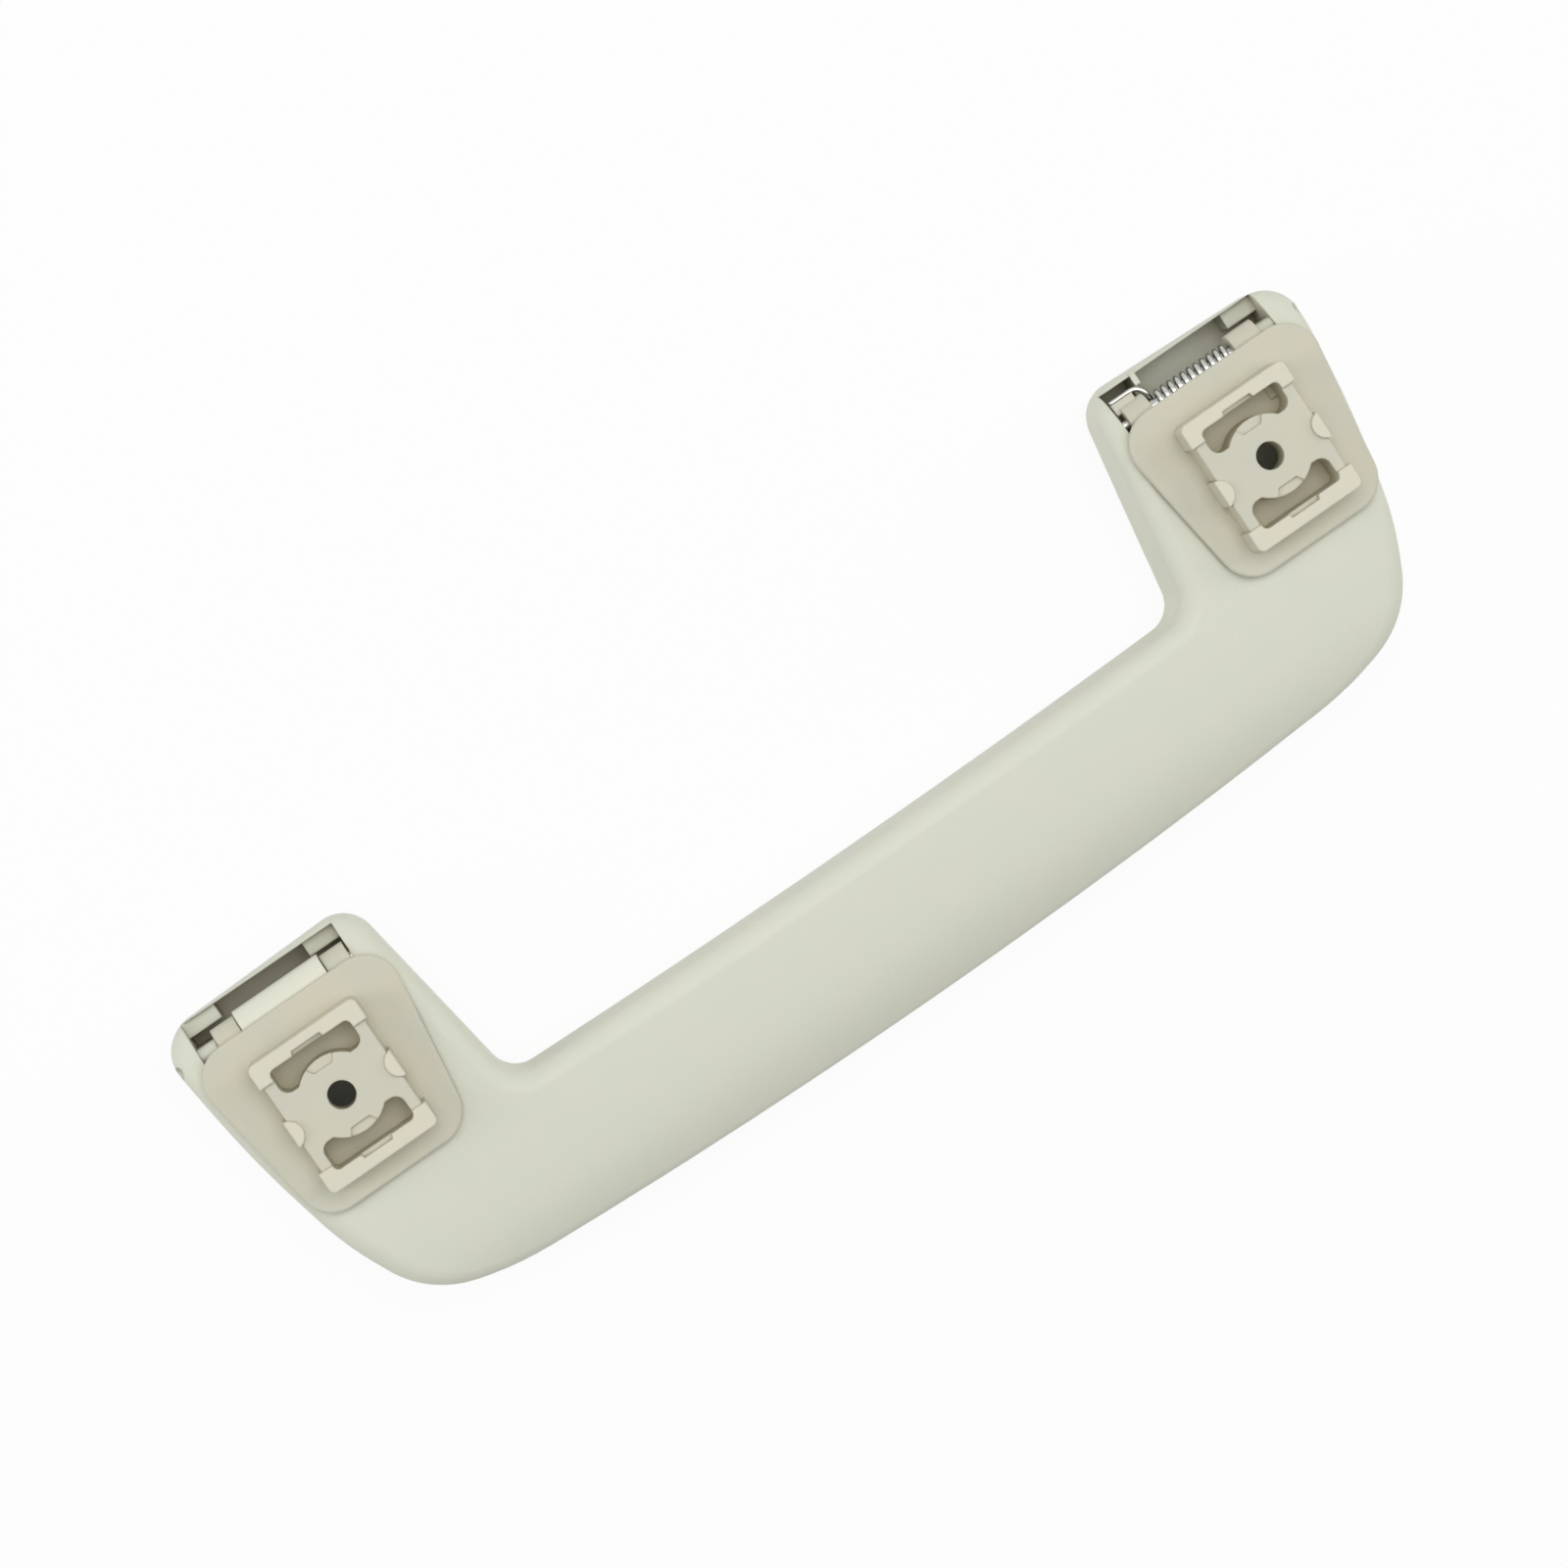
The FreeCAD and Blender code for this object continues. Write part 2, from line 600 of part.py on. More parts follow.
def locating_block(body, name):
    """Pad the block that fits the roof's slot, with its ledges, hub and side pads."""
    root = "flange_top_z - sink"
    middle = new_sketch(body, name + "Middle", "XY_Plane", root)
    rectangle(middle, "-block_half", "block_half", "ledge_far_y + over", "ledge_hinge_y - over")
    extrude(body, "Pad", name + "MiddlePad", middle, "-(%s)" % root)
    for part, low, high in (("HingeLedge", "ledge_hinge_low", "ledge_hinge_y"),
                            ("FarLedge", "ledge_far_y", "ledge_far_top")):
        ledge = new_sketch(body, name + part, "XY_Plane", root)
        rectangle(ledge, "-ledge_half", "ledge_half", low, high)
        extrude(body, "Pad", name + part + "Pad", ledge, "ledge_rise - (%s)" % root)
    corners = [(sign + "ledge_half", y) for sign in ("", "-") for y in ("ledge_hinge_y", "ledge_far_y")]
    round_edges(body, name + "LedgeRound", upright_at(body.Tip.Shape, corners), "ledge_round")
    for part, low, high in (("HingeKidney", "kidney_inner", "kidney_outer"),
                            ("FarKidney", "-kidney_outer", "-kidney_inner")):
        kidney = new_sketch(body, name + part, "XY_Plane", "ledge_rise + over")
        rectangle(kidney, "-kidney_half", "kidney_half", low, high)
        extrude(body, "Pocket", name + part + "Cut", kidney, "ledge_rise + over - kidney_floor_z")
    for part, sign in (("HingeNotch", ""), ("FarNotch", "-")):
        notch = new_sketch(body, name + part, "XY_Plane", "ledge_rise + over")
        outline(notch, [
            ("-notch_half", sign + "(kidney_outer - over)"),
            ("notch_half", sign + "(kidney_outer - over)"),
            ("notch_top_half", sign + "(kidney_outer + notch_depth)"),
            ("-notch_top_half", sign + "(kidney_outer + notch_depth)"),
        ])
        extrude(body, "Pocket", name + part + "Cut", notch, "ledge_rise + over + notch_fall")
    inner = [(sign + "kidney_half", y) for sign in ("", "-") for y in ("kidney_inner", "-kidney_inner")]
    round_edges(body, name + "KidneyRound", upright_at(body.Tip.Shape, inner), "kidney_round")
    outer = [(sign + "kidney_half", y) for sign in ("", "-") for y in ("kidney_outer", "-kidney_outer")]
    round_edges(body, name + "KidneyCorner", upright_at(body.Tip.Shape, outer), "kidney_corner")
    hub = new_sketch(body, name + "Hub", "XY_Plane", "kidney_floor_z - sink")
    circle(hub, ("0", "0"), "hub_radius")
    extrude(body, "Pad", name + "HubPad", hub, "sink - kidney_floor_z")
    for side in (1, -1):
        sign = "" if side > 0 else "-"
        lens = new_sketch(body, name + ("HingeLens" if side > 0 else "FarLens"), "XY_Plane", "over")
        edge_y = "sqrt(hub_radius ^ 2 - lens_half ^ 2)"
        outline(lens, [
            ("-lens_half", sign + edge_y),
            ("-lens_low_half", sign + "lens_low"),
            ("lens_low_half", sign + "lens_low"),
            ("lens_half", sign + edge_y),
            ("lens_half", sign + "(hub_radius + running_clearance)"),
            ("-lens_half", sign + "(hub_radius + running_clearance)"),
        ])
        extrude(body, "Pocket", lens.Name + "Cut", lens, "over + lens_depth")
    for sign in ("", "-"):
        pad = new_sketch(body, name + ("RightPad" if sign == "" else "LeftPad"), "XY_Plane", root)
        bow = "((side_pad_half ^ 2 + side_pad_deep ^ 2) / (2 * side_pad_deep))"
        outline(pad, [
            (sign + "side_pad_out", "side_pad_y - side_pad_half"),
            (sign + "side_pad_out", "side_pad_y + side_pad_half", bow, -1 if sign == "" else 1),
        ])
        extrude(body, "Pad", pad.Name + "Pad", pad, "side_pad_rise - (%s)" % root)


def screw_seat(body, name):
    """Add the boss and ribs under the flange, with the screw's hole and its head's recess."""
    seat = new_sketch(body, name + "Seat", "XY_Plane", "seat_z")
    circle(seat, ("0", "0"), "seat_radius")
    extrude(body, "Pad", name + "SeatPad", seat, "flange_top_z - sink - seat_z")
    ribs = new_sketch(body, name + "Stiffeners", "XY_Plane", "stiffener_z")
    for start in ("stiffener_x", "-stiffener_x - stiffener_thick"):
        rectangle(ribs, start, start + " + stiffener_thick", "stiffener_far_y", "web_low_y + over")
    extrude(body, "Pad", name + "StiffenerPad", ribs, "flange_top_z - sink - stiffener_z")
    recess = new_sketch(body, name + "HeadRecess", "XY_Plane", "seat_floor_z")
    circle(recess, ("0", "0"), "screw_head_radius")
    extrude(body, "Pocket", name + "HeadRecessCut", recess, "seat_floor_z - seat_z + over")
    hole = new_sketch(body, name + "Hole", "XY_Plane", "over")
    circle(hole, ("0", "0"), "screw_hole_radius")
    extrude(body, "Pocket", name + "HoleCut", hole, "2 * over - seat_floor_z")


def knuckle(body, name, start, wide):
    """Add one hinge knuckle with its web up to the flange and its stiffening rib."""
    web = new_sketch(body, name + "Web", "YZ_Plane", start)
    outline(web, [
        ("web_low_y", "knuckle_top_z"),
        ("web_low_y", "web_low_z"),
        ("axis_y - knuckle_radius * web_lean", "axis_z - knuckle_radius * sqrt(1 - web_lean ^ 2)"),
        ("axis_y", "knuckle_top_z"),
    ])
    extrude(body, "Pad", name + "WebPad", web, wide)
    eye = new_sketch(body, name + "Eye", "YZ_Plane", start)
    circle(eye, ("axis_y", "axis_z"), "knuckle_radius")
    extrude(body, "Pad", name + "EyePad", eye, wide)


def bracket(label, side, knuckles):
    """Build one bracket about its own screw hole."""
    place = ("" if side > 0 else "-") + "hole_spacing / 2"
    body = new_body(label, place)
    name = "Spring" if side > 0 else "Damper"
    dished_flange(body, name)
    locating_block(body, name)
    screw_seat(body, name)
    for index, (start, wide) in enumerate(knuckles):
        knuckle(body, "%sKnuckle%d" % (name, index + 1), "%s - (%s)" % (start, place), wide)
    bore = new_sketch(body, name + "PinBore", "YZ_Plane", "-2 * flange_hinge_half")
    circle(bore, ("axis_y", "axis_z"), "pin_radius + running_clearance")
    extrude(body, "Pocket", name + "PinBoreCut", bore, "4 * flange_hinge_half", backwards=True)
    return body


damper_knuckles = (("damper_knuckle_a_x", "damper_knuckle_a_wide"),
                   ("damper_knuckle_b_x", "damper_knuckle_b_wide"))
spring_knuckles = (("spring_knuckle_a_x", "spring_knuckle_a_wide"),
                   ("spring_knuckle_b_x", "spring_knuckle_b_wide"))
damper_bracket = bracket("damper_bracket", -1, damper_knuckles)
spring_bracket = bracket("spring_bracket", 1, spring_knuckles)

# The damper bracket's inner knuckle takes the rotor's tongue.
tongue_slot = new_sketch(damper_bracket, "TongueSlot", "YZ_Plane",
                         "damper_knuckle_b_x + hole_spacing / 2 + tongue_reach + running_clearance")
SLOT_LONG = "(tongue_long + running_clearance)"
SLOT_HALF = "(tongue_half + running_clearance)"
rectangle(tongue_slot, "axis_y - " + SLOT_LONG, "axis_y + " + SLOT_LONG,
          "axis_z - " + SLOT_HALF, "axis_z + " + SLOT_HALF)
extrude(damper_bracket, "Pocket", "TongueSlotCut", tongue_slot,
        "tongue_reach + running_clearance + side_gap / 2")

# The spring bracket's inner knuckle carries the tab that the spring's leg lifts.
tab = new_sketch(spring_bracket, "SpringTab", "YZ_Plane", "tab_x - hole_spacing / 2")
rectangle(tab, "axis_y + pin_radius + over", "axis_y + tab_reach",
          "axis_z + tab_low", "axis_z + tab_low + tab_thick")
extrude(spring_bracket, "Pad", "SpringTabPad", tab, "tab_wide")


# Hinge pins

def hinge_pin(label, start, end):
    """Make a plain pin along the hinge axis."""
    pin = doc.addObject("Part::Cylinder", label)
    pin.Label = label
    pin.Placement = FreeCAD.Placement(FreeCAD.Vector(), FreeCAD.Rotation(FreeCAD.Vector(0, 1, 0), 90))
    pin.setExpression("Radius", formula("pin_radius"))
    pin.setExpression("Height", formula("(%s) - (%s)" % (end, start)))
    pin.setExpression("Placement.Base.x", formula(start))
    pin.setExpression("Placement.Base.y", formula("axis_y"))
    pin.setExpression("Placement.Base.z", formula("axis_z"))
    return pin


ARM_LEAN = "((tip_out_x - flank_x) / (tip_out_y - flank_y))"
ARM_OUTER = "(tip_out_x - (tip_out_y - axis_y) * %s)" % ARM_LEAN
damper_pin = hinge_pin("damper_hinge_pin", "handle_shift - %s + pin_recess" % ARM_OUTER,
                       "damper_pocket_in_x + pin_seat - side_gap")
spring_pin = hinge_pin("spring_hinge_pin", "spring_pocket_in_x - pin_seat + side_gap",
                       "handle_shift + %s - pin_recess" % ARM_OUTER)


# Rotary damper

def round_pad(body, name, start, end, radius):
    """Pad a disc on the hinge axis between two places along X."""
    sketch = new_sketch(body, name, "YZ_Plane", start)
    circle(sketch, ("axis_y", "axis_z"), radius)
    extrude(body, "Pad", name + "Pad", sketch, "(%s) - (%s)" % (end, start))


def round_cut(body, name, start, end, radius):
    """Bore a hole on the hinge axis between two places along X."""
    sketch = new_sketch(body, name, "YZ_Plane", start)
    circle(sketch, ("axis_y", "axis_z"), radius)
    extrude(body, "Pocket", name + "Cut", sketch, "(%s) - (%s)" % (end, start), backwards=True)


PIN_BORE = "pin_radius + running_clearance"
CAP_START = "(%s - cap_thick)" % BARREL_END
SEAL_MIDDLE = "(%s - seal_section - running_clearance)" % CAP_START
ROTOR_END = "(%s - seal_section - running_clearance)" % SEAL_MIDDLE

housing = new_body("damper_housing")
round_pad(housing, "Barrel", BARREL_START, BARREL_END, "barrel_radius")
key = new_sketch(housing, "BarrelKey", "YZ_Plane", BARREL_START)
rectangle(key, "axis_y - key_half", "axis_y + key_half",
          "pocket_floor_z - key_slot_depth + wire_gap", "axis_z - (barrel_radius + barrel_bore) / 2")
extrude(housing, "Pad", "BarrelKeyPad", key, BARREL_END + " - " + BARREL_START)
round_cut(housing, "BarrelBore", BARREL_START + " + barrel_wall", BARREL_END + " + over", "barrel_bore")
round_cut(housing, "BarrelPinHole", BARREL_START + " - over", BARREL_END, PIN_BORE)

cap = new_body("damper_end_cap")
round_pad(cap, "Cap", CAP_START, BARREL_END, "barrel_bore - press_clearance")
round_cut(cap, "CapBore", CAP_START + " - over", BARREL_END + " + over", "neck_radius + running_clearance")

seal = doc.addObject("Part::Torus", "damper_seal")
seal.Label = "damper_seal"
seal.Placement = FreeCAD.Placement(FreeCAD.Vector(), FreeCAD.Rotation(FreeCAD.Vector(0, 1, 0), 90))
seal.setExpression("Radius1", formula("neck_radius + running_clearance + seal_section"))
seal.setExpression("Radius2", formula("seal_section"))
seal.setExpression("Placement.Base.x", formula(SEAL_MIDDLE))
seal.setExpression("Placement.Base.y", formula("axis_y"))
seal.setExpression("Placement.Base.z", formula("axis_z"))

rotor = new_body("damper_rotor")
TONGUE_START = BARREL_END + " + running_clearance"
TONGUE_END = "damper_knuckle_b_x + tongue_reach"
ROTOR_START = "(%s + barrel_wall + running_clearance)" % BARREL_START
round_pad(rotor, "RotorDrum", ROTOR_START, ROTOR_END, "rotor_radius")
round_pad(rotor, "RotorNeck", ROTOR_END + " - over", TONGUE_START, "neck_radius")
vanes = new_sketch(rotor, "RotorVanes", "YZ_Plane", ROTOR_START)
VANE_REACH = "(barrel_bore - 2 * running_clearance)"
rectangle(vanes, "axis_y - " + VANE_REACH, "axis_y + " + VANE_REACH,
          "axis_z - vane_thick / 2", "axis_z + vane_thick / 2")
extrude(rotor, "Pad", "RotorVanePad", vanes, "%s - %s" % (ROTOR_END, ROTOR_START))
tongue = new_sketch(rotor, "RotorTongue", "YZ_Plane", TONGUE_START)
rectangle(tongue, "axis_y - tongue_long", "axis_y + tongue_long",
          "axis_z - tongue_half", "axis_z + tongue_half")
extrude(rotor, "Pad", "RotorTonguePad", tongue, TONGUE_END + " - (" + TONGUE_START + ")")
round_cut(rotor, "RotorBore", BARREL_START, TONGUE_END + " + over", PIN_BORE)


# Torsion spring

def rounded_path(points, bend):
    """Join points by straight runs with an arc of one radius at each turn."""
    edges = []
    start = points[0]
    for before, corner, after in zip(points, points[1:], points[2:]):
        into = (corner - before).normalize()
        away = (after - corner).normalize()
        turn = into.getAngle(away)
        back = bend * math.tan(turn / 2)
        first = corner - into * back
        last = corner + away * back
        inward = (away - into).normalize()
        middle = corner + inward * (bend / math.cos(turn / 2) - bend)
        edges.append(Part.LineSegment(start, first).toShape())
        edges.append(Part.Arc(first, middle, last).toShape())
        start = last
    edges.append(Part.LineSegment(start, points[-1]).toShape())
    return Part.Wire(edges)


def wire_round(path, place, along, radius):
    """Sweep the spring's round section along a path from a place."""
    section = Part.Wire([Part.Circle(place, along, radius).toShape()])
    return path.makePipeShell([section], True, True)


def torsion_spring():
    """Make the coil, the leg that lifts the bracket's tab and the leg on the pocket floor."""
    radius = number("wire_radius")
    reach = number("coil_radius")
    turns = number("coil_turns")
    pitch = number("coil_pitch")
    start_angle = number("coil_start_angle")
    start_x = number("coil_start_x")
    helix = Part.makeHelix(pitch, pitch * turns, reach, 0.0, True)
    to_axis = FreeCAD.Placement(
        FreeCAD.Vector(start_x, number("axis_y"), number("axis_z")),
        FreeCAD.Rotation(FreeCAD.Vector(0, 1, 0), 90))
    spun = FreeCAD.Placement(FreeCAD.Vector(), FreeCAD.Rotation(FreeCAD.Vector(0, 0, 1), start_angle + 90))
    helix.Placement = to_axis * spun
    edge = helix.Edges[0]
    first = edge.valueAt(edge.FirstParameter)
    first_way = edge.tangentAt(edge.FirstParameter)
    last_edge = helix.Edges[-1]
    last = last_edge.valueAt(last_edge.LastParameter)
    last_way = last_edge.tangentAt(last_edge.LastParameter)
    coil = wire_round(Part.Wire(helix.Edges), first, first_way, radius)
    # The lifting leg climbs over the knuckle and runs along under the tab.
    tab_z = number("axis_z + tab_low - wire_radius - wire_gap")
    tab_y = number("axis_y + leg_reach")
    points = [
        first,
        first - first_way * number("leg_rise"),
        FreeCAD.Vector(number("leg_bend_x"), tab_y, tab_z),
        FreeCAD.Vector(number("leg_end_x"), tab_y, tab_z),
    ]
    lifting = wire_round(rounded_path(points, number("leg_bend")), first, first_way * -1, radius)
    # The other leg runs straight down to the pocket floor.
    fall = last.z - number("pocket_floor_z + wire_radius")
    end = last + last_way * (fall / -last_way.z)
    holding = wire_round(Part.Wire([Part.LineSegment(last, end).toShape()]), last, last_way, radius)
    return coil.fuse([lifting, holding]).removeSplitter()


spring = doc.addObject("Part::Feature", "torsion_spring")
spring.Label = "torsion_spring"
spring.Shape = torsion_spring()
spring.Placement = FreeCAD.Placement()


# Check and write the pieces

NODES = (handle, damper_bracket, spring_bracket, damper_pin, spring_pin,
         housing, cap, seal, rotor, spring)
doc.recompute()
for item in doc.Objects:
    if "Invalid" in item.State or "Error" in item.State:
        raise RuntimeError("%s is %s" % (item.Label, item.State))
os.makedirs("parts", exist_ok=True)
for item in NODES:
    shape = item.Shape
    if shape.isNull() or not shape.isValid() or len(shape.Solids) != 1:
        raise RuntimeError("%s has no single valid solid" % item.Label)
    shape.exportStep("parts/%s.step" % item.Label)
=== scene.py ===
import math

import bmesh
import bpy
from mathutils import Matrix, Vector


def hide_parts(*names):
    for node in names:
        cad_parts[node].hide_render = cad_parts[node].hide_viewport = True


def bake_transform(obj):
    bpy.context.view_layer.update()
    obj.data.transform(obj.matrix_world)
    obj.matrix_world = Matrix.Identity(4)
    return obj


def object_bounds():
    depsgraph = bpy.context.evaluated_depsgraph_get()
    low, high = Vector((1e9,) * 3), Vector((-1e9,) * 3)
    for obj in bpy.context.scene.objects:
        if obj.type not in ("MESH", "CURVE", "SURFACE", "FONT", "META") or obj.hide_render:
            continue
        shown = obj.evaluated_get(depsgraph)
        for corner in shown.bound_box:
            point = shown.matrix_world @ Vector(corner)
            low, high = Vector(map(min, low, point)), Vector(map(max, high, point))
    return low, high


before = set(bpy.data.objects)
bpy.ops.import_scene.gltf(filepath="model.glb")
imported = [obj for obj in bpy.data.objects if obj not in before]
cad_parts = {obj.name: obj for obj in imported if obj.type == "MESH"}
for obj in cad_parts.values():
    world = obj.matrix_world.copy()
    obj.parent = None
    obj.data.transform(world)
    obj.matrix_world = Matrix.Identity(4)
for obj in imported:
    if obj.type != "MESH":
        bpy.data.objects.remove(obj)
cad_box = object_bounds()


# Materials: lengths in metres, patterns in the part's own coordinates

EDGE_RADIUS = 0.0005
EDGE_SAMPLES = 4
# Painted highlight on the open edges:
PAINTED_HIGHLIGHT_TURNED = (0.75, 0.995)
PAINTED_HIGHLIGHT_OPENNESS = (0.5, 0.75)
PAINTED_HIGHLIGHT_SHARE = 0.7
PAINTED_HIGHLIGHT_BRIGHTNESS = 1.12
# Painted shade in the hollows, found by ambient occlusion; its reach also sets where the painted
# highlight comes in:
PAINTED_SHADE_REACH = 0.012
PAINTED_SHADE_SAMPLES = 4
PAINTED_SHADE_OPENNESS = (0.1, 0.42)
# A paler colour on the highest faces:
HIGHEST_FACE_HEIGHT = (0.0002, 0.0006)
HIGHEST_FACE_SHARE = 0.7
SPECK_SHARE = 0.35


def srgb(code):
    """Turn a six-figure colour code into linear values."""
    values = [int(code[i:i + 2], 16) / 255 for i in (0, 2, 4)]
    return [v / 12.92 if v <= 0.04045 else ((v + 0.055) / 1.055) ** 2.4 for v in values] + [1.0]


def scaled(colour, factor):
    """Make a colour darker or lighter."""
    return [min(1.0, c * factor) for c in colour[:3]] + [1.0]


class Shader:
    """A node material with a few shortcuts for its usual parts."""

    def __init__(self, name, metallic=0.0):
        self.material = bpy.data.materials.new(name)
        self.material.use_nodes = True
        self.tree = self.material.node_tree
        self.main = self.tree.nodes["Principled BSDF"]
        self.main.inputs["Metallic"].default_value = metallic
        self.place = self.add("ShaderNodeTexCoord").outputs["Object"]
        self.normal = None

    def add(self, kind, **settings):
        node = self.tree.nodes.new(kind)
        for key, value in settings.items():
            setattr(node, key, value)
        return node

    def link(self, source, target):
        self.tree.links.new(source, target)

    def remapped(self, value, source, target):
        """Carry a value over from one range to another."""
        node = self.add("ShaderNodeMapRange")
        node.inputs["From Min"].default_value, node.inputs["From Max"].default_value = source
        node.inputs["To Min"].default_value, node.inputs["To Max"].default_value = target
        self.link(value, node.inputs["Value"])
        return node.outputs["Result"]

    def noise(self, scale, detail, stretch=(1, 1, 1)):
        """Give a noise pattern; the scale is in features per metre."""
        mapping = self.add("ShaderNodeMapping")
        mapping.inputs["Scale"].default_value = stretch
        self.link(self.place, mapping.inputs["Vector"])
        node = self.add("ShaderNodeTexNoise")
        node.inputs["Scale"].default_value = scale
        node.inputs["Detail"].default_value = detail
        self.link(mapping.outputs["Vector"], node.inputs["Vector"])
        return node.outputs["Fac"]

    def ramp(self, value, low, high, first, last):
        """Map a value between two places onto two colours."""
        node = self.add("ShaderNodeValToRGB")
        node.color_ramp.elements[0].position = low
        node.color_ramp.elements[1].position = high
        node.color_ramp.elements[0].color = first
        node.color_ramp.elements[1].color = last
        self.link(value, node.inputs["Fac"])
        return node.outputs["Color"]

    def mix(self, factor, first, last):
        """Mix two colours; factor and colours are sockets or plain values."""
        node = self.add("ShaderNodeMix", data_type="RGBA")
        share_in, first_in, last_in = node.inputs[0], node.inputs[6], node.inputs[7]
        for socket, value in ((share_in, factor), (first_in, first), (last_in, last)):
            if hasattr(value, "links"):
                self.link(value, socket)
            else:
                socket.default_value = value
        return node.outputs[2]

    def colour(self, value):
        self.link(value, self.main.inputs["Base Color"])

    def roughness(self, value, low, high):
        """Let the roughness vary between two values with a pattern."""
        self.link(self.remapped(value, (0.0, 1.0), (low, high)), self.main.inputs["Roughness"])

    def soft_edges(self):
        """Round the sharp edges in the shading; this comes before any bump."""
        node = self.add("ShaderNodeBevel", samples=EDGE_SAMPLES)
        node.inputs["Radius"].default_value = EDGE_RADIUS
        self.normal = node.outputs["Normal"]

    def painted_shade_and_highlights(self, colour, painted_shade_colour, painted_highlight_colour):
        """Paint shade into a colour where it is shut in, and a painted highlight on its open
        edges.
        """
        # Painted shade: ambient occlusion pulls the colour towards the shade colour where a part
        # is shut in.
        node = self.add("ShaderNodeAmbientOcclusion", samples=PAINTED_SHADE_SAMPLES)
        node.inputs["Distance"].default_value = PAINTED_SHADE_REACH
        openness = node.outputs["AO"]
        painted_shade_share = self.remapped(openness, PAINTED_SHADE_OPENNESS, (1.0, 0.0))
        # Painted highlight: a paler colour on edges where the softened normal turns away and the
        # part lies in the open.
        highlight_where_open = self.remapped(openness, PAINTED_HIGHLIGHT_OPENNESS, (0.0, 1.0))
        flatness = self.add("ShaderNodeVectorMath", operation="DOT_PRODUCT")
        self.link(self.normal, flatness.inputs[0])
        self.link(self.add("ShaderNodeNewGeometry").outputs["Normal"], flatness.inputs[1])
        highlight_where_turned = self.remapped(flatness.outputs["Value"], PAINTED_HIGHLIGHT_TURNED, (PAINTED_HIGHLIGHT_SHARE, 0.0))
        painted_highlight_share = self.add("ShaderNodeMath", operation="MULTIPLY")
        self.link(highlight_where_turned, painted_highlight_share.inputs[0])
        self.link(highlight_where_open, painted_highlight_share.inputs[1])
        # Painted shade first, then the painted highlight over it.
        return self.mix(painted_highlight_share.outputs[0], self.mix(painted_shade_share, colour, painted_shade_colour), painted_highlight_colour)

    def bump(self, height, strength, distance):
        """Add a relief on top of those already there."""
        node = self.add("ShaderNodeBump")
        node.inputs["Strength"].default_value = strength
        node.inputs["Distance"].default_value = distance
        self.link(height, node.inputs["Height"])
        if self.normal is not None:
            self.link(self.normal, node.inputs["Normal"])
        self.normal = node.outputs["Normal"]
        self.link(self.normal, self.main.inputs["Normal"])


def moulded(name, code, warm, painted_shade_colour, roughness, grain, highest_face_colour=None):
    """Make a moulded plastic with fine grain, soft mottling, painted shade in its hollows and
    painted highlights on its edges.

    A paler colour goes on the highest faces, those that bear on the car's roof.
    """
    shader = Shader(name)
    shader.soft_edges()
    base = srgb(code)
    clouds = shader.ramp(shader.noise(110, 2), 0.35, 0.65, base, srgb(warm))
    specks = shader.ramp(shader.noise(2600, 2), 0.25, 0.75, scaled(base, 0.96), scaled(base, 1.03))
    skin = shader.mix(SPECK_SHARE, clouds, specks)
    if highest_face_colour is not None:
        # Paler above a given height in the part's own coordinates.
        height = shader.add("ShaderNodeSeparateXYZ")
        shader.link(shader.place, height.inputs[0])
        bearing = shader.remapped(height.outputs["Z"], HIGHEST_FACE_HEIGHT, (0.0, HIGHEST_FACE_SHARE))
        skin = shader.mix(bearing, skin, srgb(highest_face_colour))
    # Painted highlight colour for the edges, a little lighter than the warm tone; the plastic also
    # gets painted shade in its hollows.
    painted_highlight_colour = scaled(srgb(warm), PAINTED_HIGHLIGHT_BRIGHTNESS)
    shader.colour(shader.painted_shade_and_highlights(skin, srgb(painted_shade_colour), painted_highlight_colour))
    shader.roughness(shader.noise(60, 3), roughness - 0.05, roughness + 0.06)
    shader.bump(shader.noise(1500, 4), 0.35, grain)
    shader.bump(shader.noise(90, 2), 0.12, 0.0001)
    shader.main.inputs["Specular IOR Level"].default_value = 0.42
    return shader.material


def steel(name, code, roughness):
    """Make a drawn steel with fine lines along the hinge axis."""
    shader = Shader(name, metallic=1.0)
    lines = shader.noise(220, 4, stretch=(1, 12, 12))
    shader.colour(shader.ramp(lines, 0.3, 0.7, scaled(srgb(code), 0.86), srgb(code)))
    shader.roughness(lines, roughness - 0.06, roughness + 0.1)
    shader.bump(lines, 0.2, 0.00003)
    return shader.material


def rubber(name, code, roughness):
    """Make a dull black rubber."""
    shader = Shader(name)
    shader.main.inputs["Roughness"].default_value = roughness
    shader.colour(shader.ramp(shader.noise(400, 3), 0.3, 0.7, srgb(code), scaled(srgb(code), 1.6)))
    shader.bump(shader.noise(2200, 3), 0.3, 0.00004)
    return shader.material


# Each shade colour below is the painted shade for that plastic's hollows.
handle_plastic = moulded("handle_plastic", code="D7D9C9", warm="DADAC9", painted_shade_colour="8F8468",
                         roughness=0.5, grain=0.00005)
bracket_plastic = moulded("bracket_plastic", code="C8C7B6", warm="CFC9B5", painted_shade_colour="BAB296",
                          roughness=0.44, grain=0.00002, highest_face_colour="DCD7C4")
damper_plastic = moulded("damper_plastic", code="E0E1D1", warm="E4E2CF", painted_shade_colour="A79E88",
                         roughness=0.4, grain=0.00001)
spring_steel = steel("spring_steel", code="C9CAC4", roughness=0.28)
pin_steel = steel("pin_steel", code="C4C4C0", roughness=0.3)
seal_rubber = rubber("seal_rubber", code="1B1B1A", roughness=0.6)

